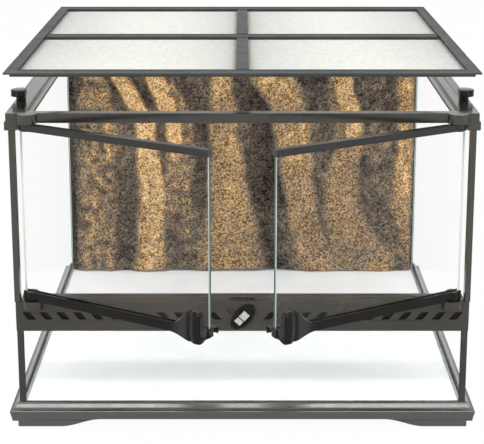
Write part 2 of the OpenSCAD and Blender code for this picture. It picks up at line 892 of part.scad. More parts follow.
// A turning lock: its cap is flat on the side that faces the cover
module cover_lock(way_x, way_y) {
    color(BLACK)
        translate([way_x * lock_at_x, way_y * lock_at_y, tank_h])
            mirror([way_x < 0 ? 1 : 0, 0, 0]) {
                translate([0, 0, -stem_l])
                    cylinder(r = stem_r, h = stem_l + 1, $fn = round_fn);
                translate([0, 0, fit])
                    cylinder(r = neck_r, h = neck_h, $fn = round_fn);
                translate([0, 0, neck_h])
                    difference() {
                        cylinder(r = cap_r, h = cap_t, $fn = round_fn);
                        translate([-cap_r - cap_flat, -cap_r - 1, -1])
                            cube([cap_r, 2 * cap_r + 2, cap_t + 2]);
                    }
            }
}

base_frame();
floor_glass();
back_glass();
side_glass(-1);  // left_glass
side_glass(1);  // right_glass
lower_front_glass();
silicone_seams();
front_post(-1);  // left_front_post
front_post(1);  // right_front_post
top_frame();
vent_strip();
vent_gauze();
strip_plug();
lock_turn();
lock_plates();
lock_crank();
lock_bolt();
rock_background();
hinge_pins(-1);  // left_hinge_pins
hinge_pins(1);  // right_hinge_pins
door_glass(-1);  // left_door_glass
top_rail(-1);  // left_top_rail
bottom_rail(-1);  // left_bottom_rail
pull(-1);  // left_pull
door_glass(1);  // right_door_glass
top_rail(1);  // right_top_rail
bottom_rail(1);  // right_bottom_rail
pull(1);  // right_pull
cover_frame();
cover_cross_bar();
centre_bar_part(-1);  // front_centre_bar
centre_bar_part(1);  // rear_centre_bar
mesh_panel(-1, -1);  // front_left_mesh
mesh_panel(1, -1);  // front_right_mesh
mesh_panel(-1, 1);  // rear_left_mesh
mesh_panel(1, 1);  // rear_right_mesh
cover_lock(-1, -1);  // front_left_lock
cover_lock(1, -1);  // front_right_lock
cover_lock(-1, 1);  // rear_left_lock
cover_lock(1, 1);  // rear_right_lock
inlet_shutter(-1);  // left_inlet_shutter
inlet_shutter(1);  // right_inlet_shutter
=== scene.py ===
"""A front-opening glass terrarium: its glass, moulded frames, doors, rock panel and screen cover."""

import json
import math
import bpy
from mathutils import Matrix, Vector, noise

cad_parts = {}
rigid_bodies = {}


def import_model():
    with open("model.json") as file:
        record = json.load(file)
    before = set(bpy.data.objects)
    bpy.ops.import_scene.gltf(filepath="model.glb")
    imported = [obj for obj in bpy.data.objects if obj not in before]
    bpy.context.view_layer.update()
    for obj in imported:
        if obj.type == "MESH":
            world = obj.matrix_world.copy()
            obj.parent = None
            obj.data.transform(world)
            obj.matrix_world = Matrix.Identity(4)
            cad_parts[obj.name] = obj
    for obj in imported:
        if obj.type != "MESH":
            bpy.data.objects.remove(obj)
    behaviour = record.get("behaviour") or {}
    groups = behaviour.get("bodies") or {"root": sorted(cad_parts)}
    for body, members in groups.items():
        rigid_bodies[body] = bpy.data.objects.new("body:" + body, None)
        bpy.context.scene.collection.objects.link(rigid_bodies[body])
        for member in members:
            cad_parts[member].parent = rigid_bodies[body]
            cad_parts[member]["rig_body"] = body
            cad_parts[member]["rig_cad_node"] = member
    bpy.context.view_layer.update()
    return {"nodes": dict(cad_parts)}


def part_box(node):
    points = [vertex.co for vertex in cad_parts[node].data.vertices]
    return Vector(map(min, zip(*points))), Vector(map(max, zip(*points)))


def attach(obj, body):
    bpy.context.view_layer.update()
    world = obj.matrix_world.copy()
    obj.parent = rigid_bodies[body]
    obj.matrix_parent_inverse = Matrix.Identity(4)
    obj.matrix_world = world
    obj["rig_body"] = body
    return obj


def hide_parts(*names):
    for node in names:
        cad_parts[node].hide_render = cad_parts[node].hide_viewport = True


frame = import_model()

# ---------------------------------------------------------------------------------------
# Camera
# A long lens stands in front of the open doors and a little above them. Part of its look
# down is a shift, which keeps the tank's uprights nearly parallel.
# ---------------------------------------------------------------------------------------
camera_place = (-0.0004, -1.5574, 0.6048)
camera_turn = (math.radians(76.42), 0, 0)
sensor_width, focal_length, lens_shift = 36, 107.04, -0.15

bpy.ops.object.camera_add(location=camera_place, rotation=camera_turn)
camera = bpy.context.object
camera.data.sensor_width = sensor_width
camera.data.lens = focal_length
camera.data.shift_y = lens_shift
bpy.context.scene.camera = camera

# ---------------------------------------------------------------------------------------
# Base frame
# One injection-moulded black tray that the whole tank stands on. It is satin ABS with a
# fine spark-eroded grain, and its edges are softened by the mould.
# ---------------------------------------------------------------------------------------
mm = 0.001
merge_distance, flat_angle = 0.005 * mm, math.radians(1)
corner_angle, smooth_angle = math.radians(28), math.radians(48)
cloud_scale, gloss_scale, grain_scale = 22, 60, 1900    # of noises, per metre


def select_only(piece):
    """Selects one piece and nothing else, for the operators that follow."""
    bpy.ops.object.select_all(action="DESELECT")
    piece.select_set(True)
    bpy.context.view_layer.objects.active = piece


def merged_copy(node, name):
    """A copy of a node as one closed mesh, with as few triangles as its shape needs."""
    piece = frame["nodes"][node].copy()
    piece.data = piece.data.copy()
    piece.name = name
    piece.parent = None
    del piece["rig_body"]
    del piece["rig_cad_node"]
    bpy.context.scene.collection.objects.link(piece)
    piece.data.materials.clear()
    select_only(piece)
    bpy.ops.object.mode_set(mode="EDIT")
    bpy.ops.mesh.select_all(action="SELECT")
    bpy.ops.mesh.customdata_custom_splitnormals_clear()
    bpy.ops.mesh.remove_doubles(threshold=merge_distance)
    bpy.ops.mesh.dissolve_limited(angle_limit=flat_angle)
    bpy.ops.mesh.quads_convert_to_tris(ngon_method="BEAUTY")
    bpy.ops.object.mode_set(mode="OBJECT")
    return piece


def bevel_edges(piece, width, steps, sharper_than=corner_angle):
    """Cuts or rounds every edge that turns by more than an angle."""
    select_only(piece)
    edge = piece.modifiers.new("bevelled_edges", "BEVEL")
    edge.width = width
    edge.segments = steps
    edge.limit_method = "ANGLE"
    edge.angle_limit = sharper_than
    edge.use_clamp_overlap = False
    edge.miter_outer = "MITER_ARC"
    bpy.ops.object.modifier_apply(modifier=edge.name)


def soften(piece, radius, steps=2, sharper_than=corner_angle):
    """Rounds a piece's edges as its mould does, and shades it smooth round them."""
    bevel_edges(piece, radius, steps, sharper_than)
    bpy.ops.object.shade_smooth_by_angle(angle=smooth_angle)
    flats = piece.modifiers.new("flat_faces_stay_flat", "WEIGHTED_NORMAL")
    flats.keep_sharp = True
    bpy.ops.object.modifier_apply(modifier=flats.name)
    return piece


def mount(piece, body, slot, materials, *nodes):
    """Gives a piece its materials and its body, and hides the nodes that it stands for."""
    piece.data.materials.clear()
    for material in materials:
        piece.data.materials.append(material)
    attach(piece, body)
    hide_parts(*nodes)
    return piece


def paint(red, green, blue):
    """A colour written as it looks on a screen, 0 to 255, as the shader's own values."""
    channels = [value / 255 for value in (red, green, blue)]
    linear = [c / 12.92 if c <= 0.04045 else ((c + 0.055) / 1.055) ** 2.4 for c in channels]
    return (*linear, 1)


def new_material(name):
    """A new material, its nodes and its main shader."""
    material = bpy.data.materials.new(name)
    material.use_nodes = True
    tree = material.node_tree
    return material, tree, tree.nodes["Principled BSDF"]


def noise_on(tree, scale, detail=2, roughness=0.5, stretch=(1, 1, 1)):
    """A noise on the piece's own coordinates, with its scale given per metre."""
    place = tree.nodes.new("ShaderNodeTexCoord")
    mapping = tree.nodes.new("ShaderNodeMapping")
    mapping.inputs["Scale"].default_value = stretch
    grain = tree.nodes.new("ShaderNodeTexNoise")
    grain.inputs["Scale"].default_value = scale
    grain.inputs["Detail"].default_value = detail
    grain.inputs["Roughness"].default_value = roughness
    tree.links.new(place.outputs["Object"], mapping.inputs["Vector"])
    tree.links.new(mapping.outputs["Vector"], grain.inputs["Vector"])
    return grain.outputs["Fac"]


def ramp_on(tree, value, stops):
    """A colour ramp over a value, from a list of (position, colour)."""
    ramp = tree.nodes.new("ShaderNodeValToRGB")
    ends = ramp.color_ramp.elements
    for at, colour in stops[1:-1]:
        ends.new(at)
    for element, (at, colour) in zip(ends, stops):
        element.position = at
        element.color = colour
    tree.links.new(value, ramp.inputs["Fac"])
    return ramp.outputs["Color"]


def range_on(tree, value, low, high, start=0.3, end=0.7):
    """A value that runs from start to end, made to run from low to high."""
    spread = tree.nodes.new("ShaderNodeMapRange")
    spread.inputs["From Min"].default_value = start
    spread.inputs["From Max"].default_value = end
    spread.inputs["To Min"].default_value = low
    spread.inputs["To Max"].default_value = high
    tree.links.new(value, spread.inputs["Value"])
    return spread.outputs["Result"]


def bump_on(tree, shader, height, strength, distance):
    """Raises a shader's surface by a height, to a distance in metres."""
    bump = tree.nodes.new("ShaderNodeBump")
    bump.inputs["Strength"].default_value = strength
    bump.inputs["Distance"].default_value = distance
    tree.links.new(height, bump.inputs["Height"])
    tree.links.new(bump.outputs["Normal"], shader.inputs["Normal"])


def moulded_plastic(name, dark, light, smooth, rough, grain_depth=0.12, mirror=0.5):
    """Grained black plastic: faint clouds of tone and gloss, and a spark-eroded grain."""
    material, tree, shader = new_material(name)
    shader.inputs["Specular IOR Level"].default_value = mirror
    tone = ramp_on(tree, noise_on(tree, cloud_scale, detail=3), [(0.32, dark), (0.68, light)])
    tree.links.new(tone, shader.inputs["Base Color"])
    gloss = range_on(tree, noise_on(tree, gloss_scale), smooth, rough)
    tree.links.new(gloss, shader.inputs["Roughness"])
    bump_on(tree, shader, noise_on(tree, grain_scale), grain_depth, 0.1 * mm)
    return material


satin_black = moulded_plastic("satin_black_plastic", paint(40, 37, 31), paint(47, 43, 36),
                              smooth=0.13, rough=0.2, mirror=0.7)
base_black = moulded_plastic("base_plastic", paint(42, 40, 35), paint(49, 46, 40),
                             smooth=0.15, rough=0.22, mirror=1)
base = soften(merged_copy("base_frame", "base_moulding"), radius=0.5 * mm)
mount(base, "tank", "frame_plastic", [base_black], "base_frame")

# ---------------------------------------------------------------------------------------
# Glass walls and floor
# Panes of four millimetre float glass with ground edges of a pale green, and a milk-white
# one for the floor. They are bonded to each other and drop into the frames.
# ---------------------------------------------------------------------------------------
across, back, up = Vector((1, 0, 0)), Vector((0, 1, 0)), Vector((0, 0, 1))
ground_width = 0.35 * mm
along_glass = 0.9    # a face within about 25 degrees of the pane's own is one of its clear sides
no_side = 1    # in metres, further out than any edge


def clear_glass(name, bending):
    """Glass with an index of refraction, which lets the lamps' light straight through."""
    material, tree, shader = new_material(name)
    shader.inputs["Base Color"].default_value = (0.996, 1.0, 0.998, 1)
    shader.inputs["Roughness"].default_value = 0
    shader.inputs["IOR"].default_value = bending
    shader.inputs["Transmission Weight"].default_value = 1
    path = tree.nodes.new("ShaderNodeLightPath")
    open_air = tree.nodes.new("ShaderNodeBsdfTransparent")
    mix = tree.nodes.new("ShaderNodeMixShader")
    tree.links.new(path.outputs["Is Shadow Ray"], mix.inputs["Fac"])
    tree.links.new(shader.outputs["BSDF"], mix.inputs[1])
    tree.links.new(open_air.outputs["BSDF"], mix.inputs[2])
    tree.links.new(mix.outputs["Shader"], tree.nodes["Material Output"].inputs["Surface"])
    return material


def streaked(tree, dark, light):
    """A tone that varies in streaks up a pane's edge."""
    streaks = noise_on(tree, 90, detail=3, stretch=(1, 1, 0.2))
    return ramp_on(tree, streaks, [(0.3, dark), (0.7, light)])


def ground_edge(name, dark, light):
    """The ground edge of a pane, in a green that varies along it."""
    material, tree, shader = new_material(name)
    tree.links.new(streaked(tree, dark, light), shader.inputs["Base Color"])
    shader.inputs["Roughness"].default_value = 0.25
    bump_on(tree, shader, noise_on(tree, 900), 0.2, 0.1 * mm)
    return material


def milk_glass(name):
    """Milk-white glass with a faint mottle, for the pane that the substrate lies on."""
    material, tree, shader = new_material(name)
    mottle = noise_on(tree, 30)
    whites = [(0.3, paint(243, 247, 249)), (0.7, paint(249, 252, 253))]
    tree.links.new(ramp_on(tree, mottle, whites), shader.inputs["Base Color"])
    tree.links.new(range_on(tree, mottle, 0.5, 0.6), shader.inputs["Roughness"])
    shader.inputs["Specular IOR Level"].default_value = 0.1
    return material


wall_glass = clear_glass("wall_glass", bending=1.01)
pale_edge = ground_edge("pale_glass_edge", paint(160, 180, 174), paint(204, 216, 211))
polished_edge = ground_edge("polished_glass_edge", paint(214, 221, 219), paint(236, 240, 238))


def pane(node, name, body, face_normal, glass, edge=pale_edge, polished_beyond=no_side):
    """A pane with clear faces and ground edges; edges far enough to a side are polished."""
    sheet = merged_copy(node, name)
    bevel_edges(sheet, ground_width, steps=1)
    bpy.ops.object.shade_flat()
    mount(sheet, body, "clear_glass", [glass, edge, polished_edge], node)
    for face in sheet.data.polygons:
        clear = abs(face.normal.dot(face_normal)) > along_glass
        face.material_index = 0 if clear else 2 if abs(face.center.x) > polished_beyond else 1


pane("floor_glass", "floor_pane", "tank", up, milk_glass("milk_glass"))
pane("back_glass", "back_pane", "tank", back, wall_glass)
pane("left_glass", "left_pane", "tank", across, wall_glass)
pane("right_glass", "right_pane", "tank", across, wall_glass)
pane("lower_front_glass", "lower_front_pane", "tank", back, wall_glass)

# ---------------------------------------------------------------------------------------
# Silicone seams
# Silicone tooled into the corners where the panes meet: black up the corners and pale round the
# floor, with a slightly uneven, rubbery surface. Its pale tone is partly painted sheen, and on the
# base frame's slot walls it is painted sheen only.
# ---------------------------------------------------------------------------------------
def tooled_silicone(name, dark, light):
    """Silicone as a finger leaves it: patches of tone and gloss over soft waves."""
    material, tree, shader = new_material(name)
    patches = noise_on(tree, 60, detail=3)
    tone = ramp_on(tree, patches, [(0.3, dark), (0.7, light)])
    tree.links.new(tone, shader.inputs["Base Color"])
    tree.links.new(range_on(tree, patches, 0.3, 0.5), shader.inputs["Roughness"])
    bump_on(tree, shader, noise_on(tree, 160), 0.3, 0.4 * mm)
    return material


silicone = tooled_silicone("black_silicone", paint(26, 26, 26), paint(42, 42, 41))
# The pale silicone's light tone is partly painted sheen
pale_silicone_and_sheen = tooled_silicone("pale_silicone_and_sheen", paint(150, 153, 152), paint(180, 182, 180))
seams = soften(merged_copy("silicone_seams", "corner_silicone"), radius=0.5 * mm)
mount(seams, "tank", "black_silicone", [silicone, pale_silicone_and_sheen], "silicone_seams")
base_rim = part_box("base_frame")[1].z
for face in seams.data.polygons:
    face.material_index = 1 if face.center.z < base_rim else 0

# The walls of the base frame's slots take the pale tone too, as painted sheen where they show
# through the glass
base.data.materials.append(pale_silicone_and_sheen)
slot_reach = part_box("right_glass")[1].x + 1 * mm
for face in base.data.polygons:
    in_slot = max(abs(face.center.x), abs(face.center.y)) < slot_reach
    if in_slot and face.center.z > base_rim / 2 and face.normal.z < 0.5:
        face.material_index = 1

# ---------------------------------------------------------------------------------------
# Front posts
# Slim moulded channels in the frames' satin black plastic. They are pressed over the front
# edges of the side panes, between the base frame and the top frame.
# ---------------------------------------------------------------------------------------
for side in ("left", "right"):
    post = merged_copy(f"{side}_front_post", f"{side}_post")
    mount(soften(post, radius=0.6 * mm, steps=3),
          "tank", "frame_plastic", [satin_black], f"{side}_front_post")

# ---------------------------------------------------------------------------------------
# Top frame
# A moulded rim around the top of the glass, flared along its lower half, with a ledge for
# the cover and two hinge bosses in front. Small slides close its cable inlets at the rear.
# ---------------------------------------------------------------------------------------
mount(soften(merged_copy("top_frame", "rim_moulding"), radius=0.6 * mm),
      "tank", "frame_plastic", [satin_black], "top_frame")
for side in ("left", "right"):
    slide = merged_copy(f"{side}_inlet_shutter", f"{side}_shutter_slide")
    mount(soften(slide, radius=0.3 * mm),
          f"{side}_shutter", "frame_plastic", [satin_black], f"{side}_inlet_shutter")

# ---------------------------------------------------------------------------------------
# Ventilation strip
# A moulded plastic strip across the front between the lower pane and the doors, with
# slanted slots and a grooved sill. Fine wire gauze lies behind the slots, and a rubber plug
# is pressed into the small hole beside the lock.
# ---------------------------------------------------------------------------------------
strip_black = moulded_plastic("strip_plastic", paint(42, 39, 34), paint(50, 46, 40),
                              smooth=0.2, rough=0.28, mirror=0.45)
gauze_pitch = 0.9 * mm
wave_length = 0.314    # of a wave texture at scale 1, in metres

mount(soften(merged_copy("vent_strip", "sill_strip"), radius=0.45 * mm),
      "tank", "frame_plastic", [strip_black], "vent_strip")
mount(soften(merged_copy("strip_plug", "blanking_plug"), radius=0.4 * mm, steps=3),
      "tank", "black_silicone", [silicone], "strip_plug")


def feed(tree, socket, value):
    """Links another node's output to a socket, or sets a fixed value on it."""
    if isinstance(value, bpy.types.NodeSocket):
        tree.links.new(value, socket)
    else:
        socket.default_value = value


def mixed(tree, share, first, second, blend="MIX"):
    """Two colours mixed by a share."""
    mix = tree.nodes.new("ShaderNodeMix")
    mix.data_type = "RGBA"
    mix.blend_type = blend
    for place, value in ((0, share), (6, first), (7, second)):    # the colour mix's own sockets
        feed(tree, mix.inputs[place], value)
    return mix.outputs[2]


def dark_weave(name, pitch):
    """Gauze too fine to see through, its near-black tone painted shade that keeps the slots dark:
    wires that cross as two sets of waves.
    """
    material, tree, shader = new_material(name)
    place = tree.nodes.new("ShaderNodeTexCoord")
    wires = []
    for direction in ("X", "Z"):
        waves = tree.nodes.new("ShaderNodeTexWave")
        waves.bands_direction = direction
        waves.inputs["Scale"].default_value = wave_length / pitch
        tree.links.new(place.outputs["Object"], waves.inputs["Vector"])
        wires.append(waves.outputs["Fac"])
    weave = mixed(tree, 0.5, *wires)
    tone = ramp_on(tree, weave, [(0.2, paint(6, 6, 6)), (0.8, paint(30, 30, 29))])
    tree.links.new(tone, shader.inputs["Base Color"])
    shader.inputs["Specular IOR Level"].default_value = 0.2
    shader.inputs["Roughness"].default_value = 0.5
    bump_on(tree, shader, weave, 0.6, 0.2 * mm)
    return material


mount(merged_copy("vent_gauze", "strip_gauze"),
      "tank", "fine_mesh", [dark_weave("dark_gauze", gauze_pitch)], "vent_gauze")

# ---------------------------------------------------------------------------------------
# Lock
# An oval thumb turn of gloss black plastic with two bright steel plates in its recess. Its
# shaft carries a steel crank that lifts a bolt of darker steel behind the strip.
# ---------------------------------------------------------------------------------------
oval_corner = math.radians(40)    # sharper than the facets round the oval


def metal(name, dark, light, smooth, rough, scale, metallic=1):
    """Metal with a fine variation of tone and gloss, bare or, at 0 metallic, lacquered."""
    material, tree, shader = new_material(name)
    shader.inputs["Metallic"].default_value = metallic
    worked = noise_on(tree, scale, detail=4)
    tone = ramp_on(tree, worked, [(0.3, dark), (0.7, light)])
    tree.links.new(tone, shader.inputs["Base Color"])
    tree.links.new(range_on(tree, worked, smooth, rough), shader.inputs["Roughness"])
    bump_on(tree, shader, worked, 0.1, 0.05 * mm)
    return material


gloss_black = moulded_plastic("gloss_black_plastic", paint(12, 10, 6), paint(19, 16, 11),
                              smooth=0.07, rough=0.13, grain_depth=0.03, mirror=0.18)
dark_steel = metal("dark_steel", paint(44, 43, 42), paint(66, 64, 62),
                   smooth=0.2, rough=0.34, scale=500)
bright_steel = metal("bright_steel", paint(176, 176, 172), paint(212, 212, 208),
                     smooth=0.2, rough=0.34, scale=500)
thumb_turn = merged_copy("lock_turn", "thumb_turn")
mount(soften(thumb_turn, radius=0.8 * mm, steps=3, sharper_than=oval_corner),
      "lock_turn", "frame_plastic", [gloss_black], "lock_turn")
mount(soften(merged_copy("lock_plates", "turn_plates"), radius=0.4 * mm, steps=3),
      "lock_turn", "bright_steel", [bright_steel], "lock_plates")
mount(soften(merged_copy("lock_crank", "lock_arm"), radius=0.3 * mm),
      "lock_turn", "bright_steel", [bright_steel], "lock_crank")
mount(soften(merged_copy("lock_bolt", "catch_bolt"), radius=0.5 * mm),
      "lock_bolt", "bright_steel", [dark_steel], "lock_bolt")

# ---------------------------------------------------------------------------------------
# Rock background
# A panel of rigid foam, moulded from rock and coated with sand, in upright sandy ridges
# with grey grooves between them. It stands on the floor pane, against the rear glass.
# ---------------------------------------------------------------------------------------
rock_low, rock_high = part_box("rock_background")
rock_width = rock_high.x - rock_low.x
rock_height = rock_high.z - rock_low.z
rock_rows, rock_columns = 190, 290
rock_thinnest, rock_crest = 13 * mm, 23 * mm
tallest_relief = 1.15
rim_share = 0.3    # how much of its relief the face keeps at the panel's sides and top
left_inset, left_fade, right_fade, top_fade = 0.01, 0.006, 0.012, 0.02
foot_lift, foot_waver, foot_waves = 0.007, 0.02, (5, 0, 9)
chipped_angle = math.radians(60)

# Each ridge: its height, then its middle and half width at the top, at two thirds, at one
# third and at the foot, as shares of the panel's width
ridges = [
    (0.71, (0.070, 0.030), (0.090, 0.054), (0.085, 0.050), (0.078, 0.050)),
    (1.18, (0.132, 0.020), (0.222, 0.028), (0.243, 0.038), (0.232, 0.042)),
    (1.15, (0.232, 0.027), (0.306, 0.024), (0.308, 0.003), (0.320, 0.000)),
    (0.70, (0.254, 0.009), (0.326, 0.042), (0.314, 0.038), (0.350, 0.006)),
    (0.90, (0.443, 0.030), (0.452, 0.036), (0.472, 0.062), (0.474, 0.114)),
    (0.91, (0.578, 0.066), (0.646, 0.054), (0.674, 0.043), (0.728, 0.048)),
    (1.12, (0.772, 0.032), (0.824, 0.026), (0.841, 0.000), (0.847, 0.000)),
    (0.85, (0.740, 0.003), (0.785, 0.014), (0.800, 0.054), (0.858, 0.098)),
    (0.92, (0.976, 0.028), (0.982, 0.028), (0.978, 0.034), (1.010, 0.014)),
]
groove_height = 0.29
foot_height, height_gain = 0.77, 0.29    # the share of its height at a ridge's foot, and its gain
vanishing_half = 0.024    # a ridge sinks into the groove where its half width is below this
extra_half = 0.006    # added to each half width
gentle_side = 1.25    # a ridge's left flank is this much wider than its right one
flank_steepness, crown_fall = 2.4, 0.14
broken_below = 0.75    # lower ridges than this are broken rock, the higher ones are worn smooth
broken_from, broken_share = 0.3, 0.5

# Each hollow or lump between the ridges: its middle across and up, its half width and half
# height, all as shares of the panel, and how far it rises
hollows = [
    (0.570, 0.50, 0.070, 9.00, -0.23),
    (0.710, 1.00, 0.070, 0.32, -0.26),
    (0.365, 0.42, 0.045, 0.20, -0.14),
    (0.888, 0.60, 0.050, 0.14, 0.38),
    (0.350, 0.27, 0.030, 0.08, 0.32),
]

# Each ripple of the face: its amount, its waves across and up, and its layer of the noise
sways = [(0.010, 4, 6, 0), (0.007, 16, 15, 4)]
folds = [(0.16, 9, 6, 7), (0.13, 34, 17, 2), (0.10, 88, 50, 1)]
broken_waves = (40, 26, 5)


def eased(share):
    """A share from 0 to 1 that starts and ends gently, and stays at 0 or 1 beyond."""
    share = max(0, min(1, share))
    return share * share * (3 - 2 * share)


def between(stations, height):
    """A middle and half width at a height from 0, the foot, to 1, the top."""
    place = (1 - height) * (len(stations) - 1)
    lower = min(int(place), len(stations) - 2)
    share = eased(place - lower)
    return [a + (b - a) * share for a, b in zip(stations[lower], stations[lower + 1])]


def ripple(x, z, waves_across, waves_up, layer):
    """A smooth noise over the panel's face, between about -1 and 1."""
    return noise.noise(Vector((x * waves_across, layer, z * waves_up)))


def rock_relief(x, z):
    """The height of the rock's face, from 0 in the deepest groove to about 1 on a crest."""
    sway = sum(amount * ripple(x, z, *waves) for amount, *waves in sways)
    ground = groove_height
    for middle_x, middle_z, half_width, half_height, rise in hollows:
        outside = abs(x - middle_x) / half_width + abs(z - middle_z) / half_height
        ground += rise * max(0, 1 - outside) ** 0.5
    relief = ground
    broken = max(0, ground - broken_from)
    for crest, *stations in ridges:
        middle, half = between(stations, z)
        height = crest * (foot_height + height_gain * z)
        height = ground + (height - ground) * min(1, half / vanishing_half)
        offset = (x + sway - middle) / (half + extra_half)
        offset = abs(offset) / (1 if offset > 0 else gentle_side)
        if offset < 1:
            flank = eased((1 - offset) * flank_steepness)
            crown = flank * (1 - crown_fall * offset)
            relief = max(relief, ground + (height - ground) * crown)
            if crest < broken_below:
                broken = max(broken, broken_share * flank)
    relief += broken * ripple(x, z, *broken_waves)
    for amount, *waves in folds:
        relief += amount * ripple(x, z, *waves)
    return relief


def rock_rim(x, z):
    """How fully the face stands out, from 1 inside the panel to 0 at its sides and top."""
    return max(0, min(1, (x - left_inset) / left_fade, (1 - x) / right_fade, (1 - z) / top_fade))


def rock_foot(x):
    """How far the panel's ragged foot lies above the floor, as a share of its height."""
    return max(0, foot_lift + foot_waver * ripple(x, 0, *foot_waves))


bpy.ops.object.select_all(action="DESELECT")
bpy.ops.mesh.primitive_grid_add(x_subdivisions=rock_columns, y_subdivisions=rock_rows, size=1,
                                rotation=(math.pi / 2, 0, 0))
rock = bpy.context.object
rock.name = "rock_panel"
bpy.ops.object.transform_apply(location=True, rotation=True, scale=True)
for vertex in rock.data.vertices:
    x, z = vertex.co.x + 0.5, vertex.co.z + 0.5
    relief = max(0, min(tallest_relief, rock_relief(x, z)))
    relief *= rim_share + (1 - rim_share) * rock_rim(x, z)
    depth = rock_thinnest + (rock_crest - rock_thinnest) * relief
    rise = rock_foot(x) + z * (1 - rock_foot(x))
    vertex.co = (rock_low.x + x * rock_width, rock_high.y - depth, rock_low.z + rise * rock_height)
bpy.ops.object.mode_set(mode="EDIT")
bpy.ops.mesh.select_all(action="DESELECT")
bpy.ops.mesh.select_mode(type="EDGE")
bpy.ops.mesh.select_non_manifold()
bpy.ops.mesh.extrude_edges_move()
bpy.ops.object.mode_set(mode="OBJECT")
for vertex in rock.data.vertices:
    if vertex.select:
        vertex.co.y = rock_high.y
bpy.ops.object.mode_set(mode="EDIT")
bpy.ops.mesh.edge_face_add()
bpy.ops.mesh.select_all(action="SELECT")
bpy.ops.mesh.normals_make_consistent(inside=False)
bpy.ops.object.mode_set(mode="OBJECT")
bpy.ops.object.shade_smooth_by_angle(angle=chipped_angle)

# The tones run darker into the grooves and lighter onto the crests than the grey and the sand alone:
# painted shade in the grooves and painted light on the crests
rock_tones_and_shade = [    # from the deepest groove to the crests
    (0, paint(45, 40, 37)), (0.21, paint(82, 74, 67)), (0.42, paint(117, 104, 90)),
    (0.62, paint(141, 118, 92)), (0.81, paint(162, 133, 97)), (1, paint(226, 186, 135))]
ragged_layers = [(110, 0.7), (400, 0.28)]    # each noise's scale, and how far it breaks up the tones
tones_from, tones_to = 0.53, 1.57    # the ragged relief that the tones are spread over
dust_scale, dust_share, dust_tone = 14, 0.35, paint(102, 93, 81)
grains_per_metre, facets_per_metre, pits_per_metre = 760, 300, 800
groove_sand, facet_share = 0.55, 0.032    # how strongly the grooves' sand and the facets show
grain_tones = [(0.04, paint(8, 7, 6)), (0.34, paint(122, 118, 112)),
               (0.66, paint(230, 229, 225)), (0.9, paint(255, 255, 252))]
facet_tones = [(0.34, paint(0, 0, 0)), (0.5, paint(184, 184, 184)), (0.66, paint(255, 250, 240))]


def own_axis(tree, axis):
    """The piece's own X, Y or Z, in metres."""
    place = tree.nodes.new("ShaderNodeTexCoord")
    axes = tree.nodes.new("ShaderNodeSeparateXYZ")
    tree.links.new(place.outputs["Object"], axes.inputs["Vector"])
    return axes.outputs[axis]


def worked_out(tree, operation, *values):
    """What a Math node makes of sockets and fixed values."""
    node = tree.nodes.new("ShaderNodeMath")
    node.operation = operation
    for socket, value in zip(node.inputs, values):
        feed(tree, socket, value)
    return node.outputs[0]


def sand_grains(tree, scale):
    """A tone of its own for each grain of sand."""
    place = tree.nodes.new("ShaderNodeTexCoord")
    grains = tree.nodes.new("ShaderNodeTexVoronoi")
    grains.inputs["Scale"].default_value = scale
    tree.links.new(place.outputs["Object"], grains.inputs["Vector"])
    channels = tree.nodes.new("ShaderNodeSeparateColor")
    tree.links.new(grains.outputs["Color"], channels.inputs["Color"])
    return ramp_on(tree, channels.outputs["Red"], grain_tones)


def sanded_rock():
    """Sand on the crests and grey in the grooves, told apart by how far the face stands out, with
    painted shade deep in the grooves and painted light on the crests.
    """
    material, tree, shader = new_material("sanded_rock")
    relief = range_on(tree, own_axis(tree, "Y"), 0, 1,
                      rock_high.y - rock_thinnest, rock_high.y - rock_crest)
    for scale, share in ragged_layers:
        layer = noise_on(tree, scale, detail=4, roughness=0.65)
        relief = worked_out(tree, "MULTIPLY_ADD", layer, share, relief)
    shade = ramp_on(tree, range_on(tree, relief, 0, 1, tones_from, tones_to), rock_tones_and_shade)
    drift = noise_on(tree, dust_scale, stretch=(1, 1, 0.5))
    shade = mixed(tree, range_on(tree, drift, 0, dust_share, 0.42, 0.66), shade, dust_tone)
    sand = range_on(tree, relief, groove_sand, 1, 0.6, 1.3)
    shade = mixed(tree, sand, shade, sand_grains(tree, grains_per_metre), blend="SOFT_LIGHT")
    facets = ramp_on(tree, noise_on(tree, facets_per_metre, detail=3, roughness=0.7), facet_tones)
    shade = mixed(tree, facet_share, shade, facets, blend="LINEAR_LIGHT")
    tree.links.new(shade, shader.inputs["Base Color"])
    shader.inputs["Roughness"].default_value = 0.94
    shader.inputs["Specular IOR Level"].default_value = 0.15
    pits = noise_on(tree, pits_per_metre, detail=3, roughness=0.6)
    bump_on(tree, shader, pits, 0.6, 0.8 * mm)
    return material


mount(rock, "tank", "moulded_rock", [sanded_rock()], "rock_background")

# ---------------------------------------------------------------------------------------
# Doors
# Two doors of clear glass that turn on steel pins in the frames' bosses. Moulded black
# channel rails hold each pane at its head and foot, and the foot rail ends in a flared
# finger grip.
# ---------------------------------------------------------------------------------------
door_open = math.radians(30.5)
door_length, rail_depth = 203.7 * mm, 8 * mm
pull_length, pull_height, pull_reach = 50.8 * mm, 28.5 * mm, 12 * mm
pull_root, pull_sag, pull_cuts = 0.4 * mm, 1.6 * mm, 31
flare_run, reach_run = (0.2, 0.6), (0.15, 0.75)    # where each starts, and over how much
crest_run, sag_run = (0.25, 0.5), (0.3, 0.4)
crease_place, crease_bow, crease_depth, crease_half = 0.73, 0.04, 1.5 * mm, 0.05
roll_rise, roll_gap, roll_end, roll_fade = 1.2 * mm, 0.03, 1.04, 0.08
head_fall, head_run = 1.2 * mm, (0.86, 0.14)


def eased_over(place, start, length):
    """A share that runs gently from 0 to 1 over a length of the grip."""
    return eased((place - start) / length)


